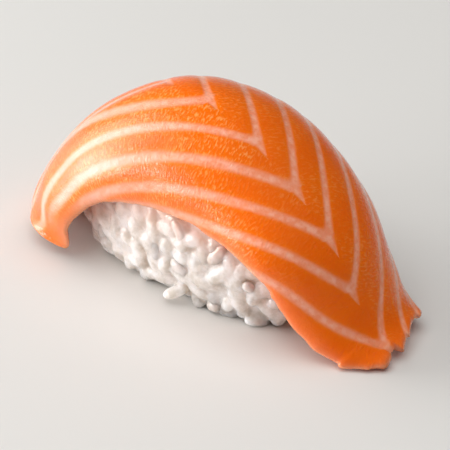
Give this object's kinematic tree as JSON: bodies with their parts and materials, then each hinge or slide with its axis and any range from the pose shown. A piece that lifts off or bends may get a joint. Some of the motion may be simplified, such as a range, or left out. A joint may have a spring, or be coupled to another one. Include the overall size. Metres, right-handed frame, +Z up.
{
  "type": "salmon nigiri",
  "caption": "Salmon nigiri: a striped slice of raw salmon draped over a hand-pressed block of sushi rice.",
  "frame": {"origin": "centre of the footprint's bounding box, on the table", "axes": "+X along the slice to its flared end, -Y to the side where the rice shows under the slice, +Z up"},
  "size_m": [0.0752, 0.0318, 0.032],
  "materials": {
    "salmon": null,
    "sushi_rice": null
  },
  "bodies": {
    "root": {"salmon_slice": "salmon", "rice_block": "sushi_rice"}
  },
  "joints": []
}
